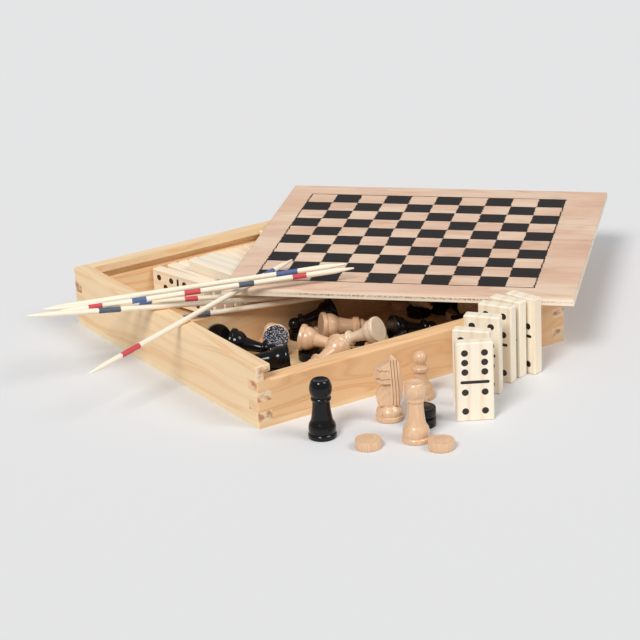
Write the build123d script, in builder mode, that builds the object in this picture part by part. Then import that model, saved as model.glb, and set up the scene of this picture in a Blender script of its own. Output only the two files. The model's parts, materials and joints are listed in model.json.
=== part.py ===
"""Games compendium box: a finger-jointed pine tray with a sliding draughts board for a lid,
and the chessmen, draughts, dominoes and pick-up sticks that it holds.

Millimetres. X runs along the low front wall from left to right, Y from the front wall to the
back wall, and Z up. The origin is the centre of the underside.
"""

import os
from math import asin, atan2, cos, degrees, radians, sin, sqrt

from build123d import *

os.makedirs("parts", exist_ok=True)

# Case
box_width = 200.0
box_depth = 200.0
wall = 8.5
base_thickness = 3.5
finger_height = 5.6
finger_count = 4
groove_height = 4.5
groove_depth = 4.0
lip_height = 4.0
corner_radius = 1.2
rim_radius = 0.9
divider_thickness = 6.0
front_room = 90.5
divider_gap = 0.5
front_edge_radius = 1.4

# Lid, which is also the draughts board
lid_thickness = 4.0
lid_side_gap = 0.5
lid_end_gap = 0.5
lid_edge_radius = 1.2
lid_turn = -45.0
lid_corner_in = 33.9
lid_corner_back = 96.3

# Draughtsmen
draught_diameter = 13.6
draught_thickness = 4.9
draught_edge = 0.5

# Dominoes
domino_length = 43.0
domino_width = 19.5
domino_thickness = 6.4
domino_edge = 0.6
pip_diameter = 3.6
pip_depth = 0.4
pip_pitch = 5.2
pip_spread = 10.2
bar_length = 15.0
bar_width = 1.7

# Pick-up sticks
stick_end_room = 7.5
stick_diameter = 3.0
stick_taper = 11.0
stick_point = 0.7

# Chessmen: heights, and the collar or crown that each one rests on when it lies down
foot_radius = 7.4
foot_height = 3.0
foot_groove = 0.7
foot_corner = 0.6
king_height = 42.0
king_crown = 5.2
king_crown_top = 28.4
queen_height = 38.5
queen_crown = 5.0
queen_crown_top = 27.3
queen_coronet = 3.4
bishop_height = 35.0
bishop_collar = 5.0
bishop_collar_top = 21.4
knight_height = 36.0
rook_height = 31.5
rook_head = 4.9
pawn_height = 27.5
pawn_collar = 4.5
pawn_collar_top = 20.4
pawn_ball = 3.6
pawn_bell = 6.5
pawn_bell_middle = 5.5

# Loose pieces
rest_gap = 0.05
open_tile_gap = 0.4
stored_tile_gap = 0.05
stored_gap = 0.2
stick_rest_gap = 0.3
support_near = 5.4
spot_shift = 1.8
draught_step = 13.9
first_stick_gap = 1.5
stick_pitch = 3.2
heap_width = 131.5
column_pitch = 14.0
column_side_gap = 1.1
column_end_gap = 1.2
column_middle_gap = 4.4

# Worked out from the sizes above
front_height = base_thickness + finger_count * finger_height
box_height = front_height + groove_height + lip_height
inner_width = box_width - 2 * wall
inner_depth = box_depth - 2 * wall
lid_width = inner_width + 2 * (groove_depth - lid_side_gap)
lid_length = box_depth - wall + groove_depth - lid_end_gap
left = -inner_width / 2
right = inner_width / 2
front = -inner_depth / 2
back = inner_depth / 2
divider_front = front + front_room
divider_back = divider_front + divider_thickness
divider_top = front_height - divider_gap
tray_floor = base_thickness
draught_top = tray_floor + draught_thickness
foot_edge = foot_height - foot_corner
stick_radius = stick_diameter / 2
stick_length = inner_width - 2 * stick_end_room


def save(part, name):
    """Label a finished piece and write it as one STEP file."""
    part.label = name
    export_step(part, f"parts/{name}.step")


# Case: every piece is trimmed by one block whose outer edges are rounded, as sanding after
# the glue-up leaves them.
with BuildPart() as sanded_block:
    with BuildSketch():
        Rectangle(box_width, box_depth)
    extrude(amount=box_height)
    fillet(sanded_block.edges().filter_by(Axis.Z), radius=corner_radius)
    fillet(sanded_block.faces().sort_by(Axis.Z)[-1].edges(), radius=rim_radius)

with BuildPart() as bottom_plate:
    with BuildSketch():
        Rectangle(box_width, box_depth)
    extrude(amount=base_thickness)
    add(sanded_block.part, mode=Mode.INTERSECT)
save(bottom_plate.part, "bottom_plate")

# Side walls: full height, with the lid groove open at the front end, and sockets in both ends
# for the fingers of the front and back walls.
groove_run = box_depth - wall + groove_depth
for side, name in ((-1, "left_wall"), (1, "right_wall")):
    wall_x = side * (box_width - wall) / 2
    groove_x = side * (inner_width + groove_depth) / 2
    with BuildPart() as side_wall:
        with BuildSketch(Plane.XY.offset(base_thickness)):
            with Locations((wall_x, 0)):
                Rectangle(wall, box_depth)
        extrude(amount=box_height - base_thickness)
        with BuildSketch(Plane.XY.offset(front_height)):
            with Locations((groove_x, (groove_run - box_depth) / 2)):
                Rectangle(groove_depth, groove_run)
        extrude(amount=groove_height, mode=Mode.SUBTRACT)
        for level in range(1, finger_count, 2):
            with BuildSketch(Plane.XY.offset(base_thickness + level * finger_height)):
                with Locations((wall_x, (wall - box_depth) / 2), (wall_x, (box_depth - wall) / 2)):
                    Rectangle(wall, wall)
            extrude(amount=finger_height, mode=Mode.SUBTRACT)
        add(sanded_block.part, mode=Mode.INTERSECT)
    save(side_wall.part, name)

# Front wall: low, so that the lid slides in over it.
with BuildPart() as front_wall:
    with BuildSketch(Plane.XY.offset(base_thickness)):
        with Locations((0, (wall - box_depth) / 2)):
            Rectangle(inner_width, wall)
    extrude(amount=front_height - base_thickness)
    top_edges = front_wall.faces().sort_by(Axis.Z)[-1].edges().filter_by(Axis.X)
    fillet(top_edges.sort_by(Axis.Y)[0], radius=front_edge_radius)
    for level in range(1, finger_count, 2):
        with BuildSketch(Plane.XY.offset(base_thickness + level * finger_height)):
            with Locations(
                ((wall - box_width) / 2, (wall - box_depth) / 2),
                ((box_width - wall) / 2, (wall - box_depth) / 2),
            ):
                Rectangle(wall, wall)
        extrude(amount=finger_height)
    add(sanded_block.part, mode=Mode.INTERSECT)
save(front_wall.part, "front_wall")

# Back wall: full height, with the groove that stops the lid.
with BuildPart() as back_wall:
    with BuildSketch(Plane.XY.offset(base_thickness)):
        with Locations((0, (box_depth - wall) / 2)):
            Rectangle(inner_width, wall)
    extrude(amount=box_height - base_thickness)
    with BuildSketch(Plane.XY.offset(front_height)):
        with Locations((0, (inner_depth + groove_depth) / 2)):
            Rectangle(inner_width, groove_depth)
    extrude(amount=groove_height, mode=Mode.SUBTRACT)
    for level in range(1, finger_count, 2):
        with BuildSketch(Plane.XY.offset(base_thickness + level * finger_height)):
            with Locations(
                ((wall - box_width) / 2, (box_depth - wall) / 2),
                ((box_width - wall) / 2, (box_depth - wall) / 2),
            ):
                Rectangle(wall, wall)
        extrude(amount=finger_height)
    add(sanded_block.part, mode=Mode.INTERSECT)
save(back_wall.part, "back_wall")

# Divider: parts the chessmen in front from the dominoes and sticks behind, and clears the lid.
with BuildPart() as divider:
    with BuildSketch(Plane.XY.offset(base_thickness)):
        with Locations((0, (divider_front + divider_back) / 2)):
            Rectangle(inner_width, divider_thickness)
    extrude(amount=divider_top - base_thickness)
save(divider.part, "divider")

# Lid: lifted out of its grooves and laid across the rims, turned an eighth of a turn. Its
# place is that of its left corner, over the divider.
lid_plane = Plane(
    origin=(left + lid_corner_in, front + lid_corner_back, box_height),
    x_dir=(cos(radians(lid_turn)), sin(radians(lid_turn)), 0),
    z_dir=(0, 0, 1),
)
with BuildPart() as lid_board:
    with BuildSketch(lid_plane):
        Rectangle(lid_length, lid_width, align=(Align.MIN, Align.MIN))
    extrude(amount=lid_thickness)
    fillet(lid_board.faces().sort_by(Axis.Z)[-1].edges(), radius=lid_edge_radius)
save(lid_board.part, "lid_board")

# Draughtsman: a plain turned disc with both rims broken.
with BuildPart() as draughtsman:
    with BuildSketch():
        Circle(draught_diameter / 2)
    extrude(amount=draught_thickness)
    chamfer(draughtsman.edges().filter_by(GeomType.CIRCLE), length=draught_edge)

# Pick-up stick: lies along X with its left point at the origin.
with BuildPart() as pickup_stick:
    with BuildSketch(Plane.XZ):
        with BuildLine():
            Polyline(
                (0, 0),
                (0, stick_point / 2),
                (stick_taper, stick_radius),
                (stick_length - stick_taper, stick_radius),
                (stick_length, stick_point / 2),
                (stick_length, 0),
                close=True,
            )
        make_face()
    revolve(axis=Axis.X)


# Domino: stands on its short end with its face towards -Y. The pips and the bar are sunk.
def pip_places(count):
    """Centres of the pips on one half of a domino, from the middle of that half."""
    side = pip_spread / 2
    places = []
    if count % 2:
        places.append((0, 0))
    if count > 1:
        places += [(-side, pip_pitch), (side, -pip_pitch)]
    if count > 3:
        places += [(side, pip_pitch), (-side, -pip_pitch)]
    if count > 5:
        places += [(-side, 0), (side, 0)]
    return places


def domino(upper, lower):
    """A domino with this many pips on each half."""
    face = Plane(origin=(0, -domino_thickness / 2, 0), x_dir=(1, 0, 0), z_dir=(0, -1, 0))
    with BuildPart() as tile:
        with BuildSketch():
            Rectangle(domino_width, domino_thickness)
        extrude(amount=domino_length)
        chamfer(tile.edges(), length=domino_edge)
        with BuildSketch(face):
            with Locations((0, domino_length / 2)):
                SlotOverall(bar_length, bar_width)
            for half, count in ((0.75, upper), (0.25, lower)):
                for across, up in pip_places(count):
                    with Locations((across, half * domino_length + up)):
                        Circle(pip_diameter / 2)
        extrude(amount=-pip_depth, mode=Mode.SUBTRACT)
    return tile.part


# Chessmen: each stands on the XY plane at the origin, turned about Z.
def foot(bell_radius, bell_top, waist_radius, waist_height):
    """Half outline of the turned foot: a disc, a groove and a bell that runs up to the waist."""
    Polyline(
        (0, 0),
        (foot_radius - foot_corner, 0),
        (foot_radius, foot_corner),
        (foot_radius, foot_edge),
        (foot_radius - foot_groove, foot_height),
        (bell_radius, foot_height + foot_groove),
    )
    ThreePointArc(
        (bell_radius, foot_height + foot_groove),
        (bell_radius - foot_corner, (foot_height + bell_top) / 2 + foot_corner),
        (waist_radius + 1.2, bell_top),
    )
    Line((waist_radius + 1.2, bell_top), (waist_radius, waist_height))


def ball_seat(top, ball, neck):
    """Height at which a neck of this radius meets a ball that ends at the top."""
    return top - ball - sqrt(ball**2 - neck**2)


with BuildPart() as pawn:
    neck = 2.7
    waist = 18.2
    with BuildSketch(Plane.XZ):
        with BuildLine():
            foot(pawn_bell, 8.6, neck, waist)
            seat = ball_seat(pawn_height, pawn_ball, neck)
            Polyline((neck, waist), (pawn_collar, waist + 0.6), (pawn_collar, pawn_collar_top), (neck, seat))
            ThreePointArc((neck, seat), (pawn_ball, pawn_height - pawn_ball), (0, pawn_height))
            Line((0, pawn_height), (0, 0))
        make_face()
    revolve(axis=Axis.Z)

with BuildPart() as rook:
    neck = 3.8
    waist = 20.4
    ring = rook_head - 0.3
    throat = neck + 0.3
    lip = rook_head - 0.4
    with BuildSketch(Plane.XZ):
        with BuildLine():
            foot(6.9, 9.0, neck, waist)
            Polyline((neck, waist), (ring, waist + 0.5), (ring, waist + 2.2), (throat, waist + 2.6))
            ThreePointArc((throat, waist + 2.6), (rook_head, waist + 6.2), (lip, rook_height - 0.8))
            Polyline(
                (lip, rook_height - 0.8),
                (lip - 0.8, rook_height),
                (lip - 1.6, rook_height - 0.7),
                (0, rook_height - 1.0),
                (0, 0),
            )
        make_face()
    revolve(axis=Axis.Z)

with BuildPart() as bishop:
    neck = 3.9
    waist = 17.8
    ring = 3.9
    finial = 1.3
    finial_neck = 1.1
    with BuildSketch(Plane.XZ):
        with BuildLine():
            foot(6.8, 9.4, neck, waist)
            Polyline((neck, waist), (bishop_collar, waist + 0.8), (bishop_collar, bishop_collar_top))
            Polyline(
                (bishop_collar, bishop_collar_top),
                (ring - 0.7, bishop_collar_top + 0.7),
                (ring, bishop_collar_top + 1.3),
                (ring, bishop_collar_top + 2.6),
                (ring - 1.0, bishop_collar_top + 3.2),
            )
            seat = ball_seat(bishop_height, finial, finial_neck)
            mitre = (ring - 1.0, bishop_collar_top + 3.2)
            ThreePointArc(mitre, (ring - 1.1, bishop_collar_top + 6.4), (finial_neck, seat))
            ThreePointArc((finial_neck, seat), (finial, bishop_height - finial), (0, bishop_height))
            Line((0, bishop_height), (0, 0))
        make_face()
    revolve(axis=Axis.Z)

with BuildPart() as queen:
    neck = 3.8
    waist = 25.0
    finial = 2.0
    finial_neck = 1.8
    coronet = queen_height - queen_coronet
    with BuildSketch(Plane.XZ):
        with BuildLine():
            foot(6.9, 10.0, neck, waist)
            Polyline((neck, waist), (queen_crown, waist + 0.7), (queen_crown, queen_crown_top))
            Polyline((queen_crown, queen_crown_top), (neck - 0.6, queen_crown_top + 0.7), (queen_crown, coronet))
            seat = ball_seat(queen_height, finial, finial_neck)
            Line((queen_crown, coronet), (finial_neck, seat))
            ThreePointArc((finial_neck, seat), (finial, queen_height - finial), (0, queen_height))
            Line((0, queen_height), (0, 0))
        make_face()
    revolve(axis=Axis.Z)

with BuildPart() as king:
    neck = 3.4
    waist = 26.0
    ring = 4.4
    finial = 2.1
    finial_neck = 1.7
    with BuildSketch(Plane.XZ):
        with BuildLine():
            foot(7.0, 10.4, neck, waist)
            Polyline((neck, waist), (king_crown, waist + 0.8), (king_crown, king_crown_top))
            Polyline(
                (king_crown, king_crown_top),
                (ring - 0.2, king_crown_top + 0.5),
                (ring, king_crown_top + 2.2),
                (neck, king_crown_top + 2.8),
            )
            crown_top = king_height - 5.0
            ThreePointArc((neck, king_crown_top + 2.8), (neck + 0.7, king_crown_top + 5.6), (neck - 0.4, crown_top))
            seat = ball_seat(king_height, finial, finial_neck)
            Line((neck - 0.4, crown_top), (finial_neck, seat))
            ThreePointArc((finial_neck, seat), (finial, king_height - finial), (0, king_height))
            Line((0, king_height), (0, 0))
        make_face()
    revolve(axis=Axis.Z)

# Knight: a turned foot and a head sawn from flat stock. The head faces -X.
head_foot = 8.6
head_thickness = 8.6
with BuildPart() as knight:
    with BuildSketch(Plane.XZ):
        with BuildLine():
            Polyline(
                (0, 0),
                (foot_radius - foot_corner, 0),
                (foot_radius, foot_corner),
                (foot_radius, foot_edge),
                (foot_radius - foot_groove, foot_height),
            )
            ThreePointArc((foot_radius - foot_groove, foot_height), (foot_radius - 0.2, 5.0), (5.6, 7.4))
            Polyline((5.6, 7.4), (4.6, head_foot), (4.6, head_foot + 1.0), (0, head_foot + 1.0), (0, 0))
        make_face()
    revolve(axis=Axis.Z)
    with BuildSketch(Plane.XZ.offset(-head_thickness / 2)):
        with BuildLine():
            chest = Spline((-4.6, head_foot), (-6.9, 13.8), (-4.8, 17.8), (-1.8, 20.3))
            Polyline(
                chest @ 1,
                (-3.9, 20.8),
                (-5.9, 21.9),
                (-7.8, 24.4),
                (-7.8, 27.8),
                (-5.2, 29.2),
                (-1.8, 30.8),
                (1.1, 32.2),
                (0.9, knight_height),
                (3.3, knight_height - 0.6),
                (5.5, 31.7),
            )
            mane = Spline((5.5, 31.7), (6.9, 24.9), (7.2, 15.8), (4.9, head_foot))
            Line(mane @ 1, chest @ 0)
        make_face()
    extrude(amount=head_thickness)
    # Mouth and cheek cuts, and the bevels that thin the muzzle, the ears and the neck.
    with BuildSketch(Plane.XZ.offset(-head_thickness)):
        with Locations((-6.4, 23.4)):
            Rectangle(3.6, 0.7, rotation=-12)
    extrude(amount=2 * head_thickness, mode=Mode.SUBTRACT)
    for face_side in (-1, 1):
        with BuildSketch(Plane.YZ.offset(-2 * foot_radius)):
            with BuildLine():
                Polyline(
                    (face_side * head_thickness, 15.0),
                    (face_side * head_thickness / 2, 15.0),
                    (face_side * 2.2, knight_height),
                    (face_side * head_thickness, knight_height),
                    close=True,
                )
            make_face()
        extrude(amount=4 * foot_radius, mode=Mode.SUBTRACT)
        with BuildSketch(Plane.XY.offset(18.0)):
            with BuildLine():
                Polyline(
                    (-2.0, face_side * head_thickness),
                    (-2.0, face_side * head_thickness / 2),
                    (-8.0, face_side * 1.7),
                    (-8.0, face_side * head_thickness),
                    close=True,
                )
            make_face()
        extrude(amount=knight_height, mode=Mode.SUBTRACT)

chessmen = {
    "pawn": pawn.part,
    "rook": rook.part,
    "bishop": bishop.part,
    "queen": queen.part,
    "king": king.part,
    "knight": knight.part,
}

# The ring that a piece rests on, besides its foot, when it lies down: radius and height.
resting_ring = {
    "pawn": (pawn_collar, pawn_collar_top),
    "bishop": (bishop_collar, bishop_collar_top),
    "queen": (queen_crown, queen_height - queen_coronet),
    "king": (king_crown, king_crown_top),
}


def standing(x, y, heading):
    """Where a piece stands on the table, measured from the left front corner of the tray."""
    ahead = (cos(radians(heading)), sin(radians(heading)), 0)
    return Plane(origin=(left + x, y - box_depth / 2, 0), x_dir=ahead).location


def pointing(x, y, z, heading, pitch):
    """Where a piece lies with its foot centred here and its head this way, pitch upwards."""
    level = cos(radians(pitch))
    ahead = (cos(radians(heading)) * level, sin(radians(heading)) * level, sin(radians(pitch)))
    across = (-sin(radians(heading)), cos(radians(heading)), 0)
    return Plane(origin=(x, y, z), x_dir=across, z_dir=ahead).location


def lying(kind, x, y, heading):
    """Where a piece lies at rest on the layer of draughts, on its foot and its upper ring."""
    ring_radius, ring_height = resting_ring[kind]
    pitch = -degrees(atan2(foot_radius - ring_radius, ring_height - foot_edge))
    z = draught_top + rest_gap + foot_radius * cos(radians(pitch)) - foot_edge * sin(radians(pitch))
    return pointing(x, y, z, heading, pitch)


def stick_at(x, y, z, heading, pitch):
    """Where a pick-up stick lies with its left point here and its axis this way."""
    level = cos(radians(pitch))
    ahead = (cos(radians(heading)) * level, sin(radians(heading)) * level, sin(radians(pitch)))
    across = (sin(radians(heading)), -cos(radians(heading)), 0)
    return Plane(origin=(x, y, z), x_dir=ahead, z_dir=Vector(*ahead).cross(Vector(*across))).location


def along(x, y, heading, distance):
    """The place this far from x, y in the direction of the heading."""
    return x + distance * cos(radians(heading)), y + distance * sin(radians(heading))


def place(shape, location):
    """A copy of a finished shape at this location."""
    with BuildPart() as placed:
        with Locations(location):
            add(shape)
    return placed.part


def place_all(copies):
    """Several solids in one node."""
    with BuildPart() as group:
        for shape, location in copies:
            with Locations(location):
                add(shape)
    return group.part


# Dominoes standing in a curve: place, heading of the face's long way, and pips.
standing_tiles = (
    (86.7, -57.7, -30.0, 6, 4),
    (95.9, -43.6, -49.0, 5, 3),
    (112.8, -30.5, -52.0, 4, 4),
    (128.4, -22.1, -62.5, 5, 2),
    (138.1, -18.8, -70.0, 4, 6),
    (147.7, -20.3, -76.0, 3, 2),
)
for number, (x, y, heading, upper, lower) in enumerate(standing_tiles, 1):
    save(place(domino(upper, lower), standing(x, y, heading)), f"domino_standing_{number}")


# Dominoes on edge in the rear compartment, on two pick-up sticks that keep them off the floor.
# The open ones have slewed a little, and one loose tile lies flat across them.
tile_floor = tray_floor + stick_diameter + 2 * rest_gap


def on_edge(x, turn=0.0):
    """Where a domino stands on its long edge against the back wall, its face towards -X.

    Its left back corner is this far from the left wall, and its front end is turned to the right.
    """
    across, ahead = cos(radians(turn)), sin(radians(turn))
    half = domino_thickness / 2
    centre = (left + x + half * across, back - rest_gap - half * ahead, tile_floor + domino_width / 2)
    return Plane(origin=centre, x_dir=(0, 0, -1), z_dir=(ahead, -across, 0)).location


def next_tile(x, turn, next_turn, gap):
    """The place of the next tile, so that the front ends stay this far apart."""
    reach = domino_length * (sin(radians(turn)) - sin(radians(next_turn)))
    return x + domino_thickness / cos(radians(next_turn)) + gap + max(reach, 0)


first_tile_x = 37.2
open_turns = (13.0, 8.5, 8.0, 7.5)
tile_xs = [first_tile_x]
for turn, next_turn in zip(open_turns, open_turns[1:]):
    tile_xs.append(next_tile(tile_xs[-1], turn, next_turn, open_tile_gap))
save(place(domino(4, 5), on_edge(tile_xs[0], open_turns[0])), "domino_tray_first")
open_tiles = [(domino(1, 0), on_edge(x, turn)) for x, turn in zip(tile_xs[1:], open_turns[1:])]
save(place_all(open_tiles), "dominoes_tray_open")

flat_x, flat_from_back, flat_turn = 65.2, 38.5, 9.0
flat_z = tile_floor + domino_width + rest_gap + domino_thickness / 2
slewed = (sin(radians(flat_turn)), -cos(radians(flat_turn)), 0)
across_tile = (cos(radians(flat_turn)), sin(radians(flat_turn)), 0)
flat_tile = Plane(origin=(left + flat_x, back - flat_from_back, flat_z), x_dir=across_tile, z_dir=slewed)
flat_start = flat_tile.offset(-domino_length / 2)
save(place(domino(0, 1), flat_start.location), "domino_tray_flat")

# The stored ones stand close together as far as the two sticks carry them, and three more
# lie flat on top.
rail_x = right - rest_gap - stick_length
rail_front = back - domino_length + 7.0
rail_back = back - 7.0
stored_step = domino_thickness + stored_tile_gap
first_stored_x = next_tile(tile_xs[-1], open_turns[-1], 0.0, stored_gap)
stored_end = inner_width - stick_taper
stored_count = int((stored_end - first_stored_x) / stored_step)
stored_tiles = [(domino(0, 0), on_edge(first_stored_x + n * stored_step)) for n in range(stored_count)]
top_step = domino_width + stored_gap
for n in range(3):
    top_x = left + stored_end - stick_taper - n * top_step
    top_tile = Plane(origin=(top_x, back - rest_gap, flat_z), x_dir=(1, 0, 0), z_dir=(0, -1, 0))
    stored_tiles.append((domino(0, 0), top_tile.location))
save(place_all(stored_tiles), "dominoes_stored")

# Draughts and chessmen standing on the table in front of the box.
save(place(draughtsman.part, standing(23.1, -53.7, 0)), "draught_natural_left")
save(place(draughtsman.part, standing(51.0, -77.6, 0)), "draught_natural_front")
save(place(draughtsman.part, standing(61.1, -47.7, 0)), "draught_black_lower")
on_draught = Location((0, 0, draught_thickness + rest_gap)) * standing(61.5, -47.1, 0)
save(place(draughtsman.part, on_draught), "draught_black_upper")
save(place(rook.part, standing(12.4, -28.0, 0)), "rook_standing_black")
save(place(knight.part, standing(52.4, -30.3, -32.0)), "knight_standing_natural")
save(place(pawn.part, standing(81.7, -16.8, 0)), "pawn_standing_natural")
save(place(rook.part, standing(47.0, -61.5, 0)), "rook_standing_natural")

# Chessmen lying in the front compartment: foot, measured from its left front corner, heading
# of the head, and node name. The stick on the divider crosses the foot of one of them.
crossed_foot = 94.7
heap = (
    ("queen", 37.1, 32.7, 152.2, "tray_queen_black"),
    ("pawn", 47.0, 61.8, 65.5, "tray_pawn_natural_1"),
    ("pawn", 57.9, 54.2, -48.5, "tray_pawn_natural_2"),
    ("pawn", 67.8, 29.4, 196.9, "tray_pawn_natural_3"),
    ("pawn", 98.5, 9.1, 158.5, "tray_pawn_black_1"),
    ("pawn", crossed_foot, 77.5, 170.0, "tray_pawn_black_2"),
    ("pawn", 104.1, 33.4, -11.4, "tray_pawn_black_3"),
    ("pawn", 24.8, 73.4, -49.9, "tray_pawn_black_4"),
)
tray_chessmen = [(kind, left + x, front + y, heading, name) for kind, x, y, heading, name in heap]

# The others lie head to tail in columns from the right wall, as many as there is room for.
column_count = int((inner_width - heap_width - column_side_gap) / column_pitch)
columns = [right - column_side_gap - foot_radius - column_pitch * n for n in range(column_count)]
far_end = divider_front - column_end_gap
near_end = front + column_end_gap
queen_foot = near_end + queen_height - 0.2
pawn_foot = queen_foot + column_middle_gap
natural_columns = (("queen", queen_foot, -90.0), ("bishop", far_end, -90.0))
black_columns = (("king", near_end, 90.0), ("pawn", pawn_foot, 90.0), ("bishop", near_end, 90.0))
natural_king = ("king", columns[0], far_end, -90.0)
stored_natural = [("bishop", left + 76.2, front + 61.8, -20.5)]
stored_natural += [(kind, x, y, turn) for x, (kind, y, turn) in zip(columns[1:], natural_columns)]
stored_black = [(kind, x, y, turn) for x, (kind, y, turn) in zip(columns, black_columns)]
for kind, x, y, heading, name in tray_chessmen:
    save(place(chessmen[kind], lying(kind, x, y, heading)), name)
for group, name in (
    ([natural_king], "tray_king_natural"),
    (stored_natural, "chessmen_stored_natural"),
    (stored_black, "chessmen_stored_black"),
):
    save(place_all([(chessmen[kind], lying(kind, x, y, turn)) for kind, x, y, turn in group]), name)

# One natural pawn lies across a second draught, so its foot is raised: its bell rests on the
# draught and its ball on the layer.
raised_x, raised_y, raised_heading = left + 89.7, front + 24.5, 119.1
ball_middle = pawn_height - pawn_ball
reach = ball_middle - pawn_bell_middle
step_up = draught_thickness + rest_gap - pawn_ball
raised_pitch = asin(step_up / sqrt(reach**2 + pawn_bell**2)) + atan2(pawn_bell, reach)
raised_z = draught_top + rest_gap + pawn_ball + ball_middle * sin(raised_pitch)
raised_pawn = pointing(raised_x, raised_y, raised_z, raised_heading, -degrees(raised_pitch))
save(place(pawn.part, raised_pawn), "tray_pawn_natural_4")

# Draughts under the chessmen, one beneath each foot and one beneath each upper ring. One more
# lies under the raised pawn, and one leans on the divider.
radius = draught_diameter / 2
stack_x, stack_y = along(raised_x, raised_y, raised_heading, 1.4)
lean_x, lean_heading, lean_pitch = left + 25.0, -113.6, 14.0
lean_out = sin(radians(lean_heading)) * cos(radians(lean_pitch))
lean_y = divider_front - 2 * rest_gap - radius * sqrt(1 - lean_out**2)
lean_z = draught_top + rest_gap + radius * cos(radians(lean_pitch))
ball_x, ball_y = along(raised_x, raised_y, raised_heading, ball_middle * cos(raised_pitch))
spots = [(stack_x, stack_y), (ball_x - 3.8, ball_y - 2.4), (lean_x, lean_y)]
for kind, x, y, heading in [piece[:4] for piece in tray_chessmen] + [natural_king] + stored_natural + stored_black:
    under_ring = max(resting_ring[kind][1], support_near + draught_step)
    for distance in (support_near, under_ring, under_ring + spot_shift):
        spots.append(along(x, y, heading, distance))


def kept_inside(spot, room):
    """The same spot, moved so that a draught there is clear of the walls."""
    x, y = spot
    x = min(max(x, left + room), right - room)
    return x, min(max(y, front + room), divider_front - room)


layer = []
for spot in [kept_inside(spot, rest_gap + radius) for spot in spots]:
    if all((spot[0] - x) ** 2 + (spot[1] - y) ** 2 > draught_step**2 for x, y in layer):
        layer.append(spot)
in_layer = [Location((x, y, tray_floor)) for x, y in layer]
stacked = Location((stack_x, stack_y, draught_top + rest_gap))
leaning = pointing(lean_x, lean_y, lean_z, lean_heading, lean_pitch)
natural_draughts = [(draughtsman.part, spot) for spot in in_layer[0::2] + [stacked]]
black_draughts = [(draughtsman.part, spot) for spot in in_layer[1::2] + [leaning]]
save(place_all(natural_draughts), "draughts_tray_natural")
save(place_all(black_draughts), "draughts_tray_black")

# Pick-up sticks: left point, heading and pitch, measured from the left wall, the front wall
# and the rim of the case. Three lean on the left wall and the lid, and two on the left wall
# and the divider.
leaning_sticks = (
    (-54.6, 138.1, 0.4, -26.79, 4.39, "stick_upper_back"),
    (-61.0, 113.9, 6.7, -19.13, 1.55, "stick_upper_front"),
    (-75.7, 45.85, -3.4, 18.72, 4.05, "stick_lower"),
    (-63.4, 117.5, 8.5, -10.66, -6.15, "stick_left_back"),
    (-79.1, 107.6, 11.1, -8.30, -6.81, "stick_left_front"),
)
for x, y, z, heading, pitch, name in leaning_sticks:
    save(place(pickup_stick.part, stick_at(left + x, front + y, box_height + z, heading, pitch)), name)

# The loose stick rests on the edge of the divider and on the foot of a pawn under the lid.
loose_stick_x, loose_stick_y, loose_stick_heading = left + 9.5, divider_front + 3.6, -10.8
at_edge = (divider_front - loose_stick_y) / sin(radians(loose_stick_heading))
at_foot = (left + crossed_foot - loose_stick_x) / cos(radians(loose_stick_heading))
edge_z = divider_top + stick_rest_gap + stick_radius
foot_z = draught_top + 2 * foot_radius + stick_rest_gap + stick_radius
fall = (foot_z - edge_z) / (at_foot - at_edge)
loose_stick_z = edge_z - fall * at_edge
loose_stick = stick_at(loose_stick_x, loose_stick_y, loose_stick_z, loose_stick_heading, degrees(atan2(fall, 1)))
save(place(pickup_stick.part, loose_stick), "stick_on_divider")

# The other sticks lie on the floor of the rear compartment: two under the dominoes, and the
# rest side by side between them and the divider.
first_stick_y = divider_back + first_stick_gap + stick_radius
tile_front = back - rest_gap - domino_length - domino_thickness * sin(radians(open_turns[0]))
stick_count = int((tile_front - first_stick_y - stick_radius) / stick_pitch) + 1
floor_ys = [first_stick_y + n * stick_pitch for n in range(stick_count)]
floor_z = tray_floor + rest_gap + stick_radius
stored_sticks = [
    (pickup_stick.part, stick_at(rail_x, y, floor_z, 0, 0)) for y in (rail_front, rail_back)
]
stored_sticks += [(pickup_stick.part, stick_at(-stick_length / 2, y, floor_z, 0, 0)) for y in floor_ys]
save(place_all(stored_sticks), "sticks_stored")
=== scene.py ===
import json
from math import atan2, cos, pi, radians, sin, sqrt

import bpy
from mathutils import Euler, Matrix, Vector


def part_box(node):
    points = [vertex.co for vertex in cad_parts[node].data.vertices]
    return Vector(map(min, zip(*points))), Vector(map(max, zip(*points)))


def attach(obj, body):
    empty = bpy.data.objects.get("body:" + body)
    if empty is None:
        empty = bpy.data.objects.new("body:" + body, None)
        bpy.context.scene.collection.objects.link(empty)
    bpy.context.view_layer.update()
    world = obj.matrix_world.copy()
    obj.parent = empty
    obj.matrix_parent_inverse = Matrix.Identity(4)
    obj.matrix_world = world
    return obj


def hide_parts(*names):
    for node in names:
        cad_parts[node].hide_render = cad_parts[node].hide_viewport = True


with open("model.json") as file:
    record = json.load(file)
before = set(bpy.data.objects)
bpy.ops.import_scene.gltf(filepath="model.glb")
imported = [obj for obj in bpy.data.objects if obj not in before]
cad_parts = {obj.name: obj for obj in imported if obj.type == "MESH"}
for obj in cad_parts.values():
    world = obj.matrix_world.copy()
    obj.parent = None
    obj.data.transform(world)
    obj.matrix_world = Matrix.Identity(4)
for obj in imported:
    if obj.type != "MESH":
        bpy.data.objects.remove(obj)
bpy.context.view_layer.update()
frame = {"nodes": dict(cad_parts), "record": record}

mm = 0.001


# Camera: a long lens above the table, looking down over the low front wall and along the
# left wall of the box.
bpy.ops.object.camera_add(location=(-0.66076, -1.05356, 0.47337))
camera = bpy.context.object
camera.rotation_euler = (radians(69.418), radians(2.395), radians(-33.113))
camera.data.lens = 131.63
camera.data.sensor_width = 36.0
bpy.context.scene.camera = camera
bpy.context.scene.view_settings.view_transform = "Standard"


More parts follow.
